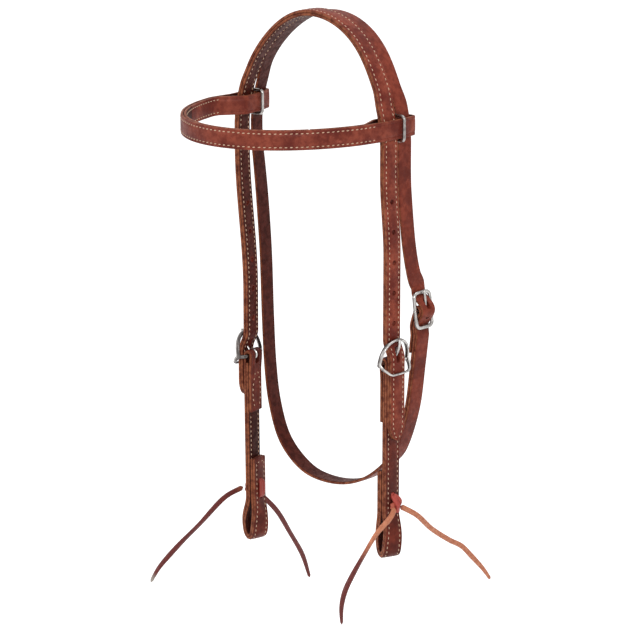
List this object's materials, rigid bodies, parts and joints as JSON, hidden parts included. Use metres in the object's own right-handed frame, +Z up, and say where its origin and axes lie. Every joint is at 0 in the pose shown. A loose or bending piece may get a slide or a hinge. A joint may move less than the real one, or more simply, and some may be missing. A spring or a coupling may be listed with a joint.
{
  "type": "western headstall",
  "caption": "Leather western headstall with a slit crown, looped browband, buckled cheeks, a buckled throatlatch and bit loops tied with laces.",
  "frame": {"origin": "the crown's underside at its highest point, where it rests on the poll", "axes": "+Z up, +X towards the near (left) side of the horse, -Y towards its forehead"},
  "size_m": [0.1997, 0.2436, 0.5338],
  "materials": {
    "crown_leather": "smooth oiled russet",
    "overlay_leather": "smooth oiled russet",
    "browband_leather": "smooth oiled russet",
    "cheek_leather": "smooth oiled russet",
    "lace": "soft, slightly waxy",
    "nickel": "polished"
  },
  "bodies": {
    "headstall": {"crown_strap": "crown_leather", "crown_overlay": "overlay_leather", "near_cheek_buckle": "nickel", "far_cheek_buckle": "nickel", "throat_buckle": "nickel"},
    "browband": {"browband_strap": "browband_leather", "browband_lining": "browband_leather", "near_browband_ring": "nickel", "far_browband_ring": "nickel"},
    "near_cheek": {"near_cheek_strap": "cheek_leather", "near_cheek_lining": "cheek_leather", "near_lace_knot": "lace", "near_front_lace_tail": "lace", "near_rear_lace_tail": "lace"},
    "far_cheek": {"far_cheek_strap": "cheek_leather", "far_cheek_lining": "cheek_leather", "far_lace_knot": "lace", "far_front_lace_tail": "lace", "far_rear_lace_tail": "lace"},
    "near_tongue": {"near_cheek_tongue": "nickel"},
    "far_tongue": {"far_cheek_tongue": "nickel"},
    "throat_tongue": {"throat_tongue": "nickel"}
  },
  "joints": [
    {"name": "browband_slide", "type": "slide", "parent": "headstall", "child": "browband", "axis": [0, 0, 1], "range_m": [-0.02, 0]},
    {"name": "near_cheek_swing", "type": "hinge", "parent": "headstall", "child": "near_cheek", "pos_m": [0.08415, -0.0055, -0.275], "axis": [0, 1, 0], "range_deg": [0, 20]},
    {"name": "far_cheek_swing", "type": "hinge", "parent": "headstall", "child": "far_cheek", "pos_m": [-0.08433, 0.00086, -0.303], "axis": [0.1908, -0.9816, 0], "range_deg": [0, 7]},
    {"name": "near_tongue_tilt", "type": "hinge", "parent": "headstall", "child": "near_tongue", "pos_m": [0.08415, -0.0055, -0.275], "axis": [0, 1, 0], "range_deg": [0, 8]},
    {"name": "far_tongue_tilt", "type": "hinge", "parent": "headstall", "child": "far_tongue", "pos_m": [-0.08433, 0.00086, -0.303], "axis": [0.1908, -0.9816, 0], "range_deg": [0, 8]},
    {"name": "throat_tongue_tilt", "type": "hinge", "parent": "headstall", "child": "throat_tongue", "pos_m": [0.0925, 0.025, -0.2353], "axis": [-0.0175, 0.9998, 0], "range_deg": [0, 8]}
  ]
}
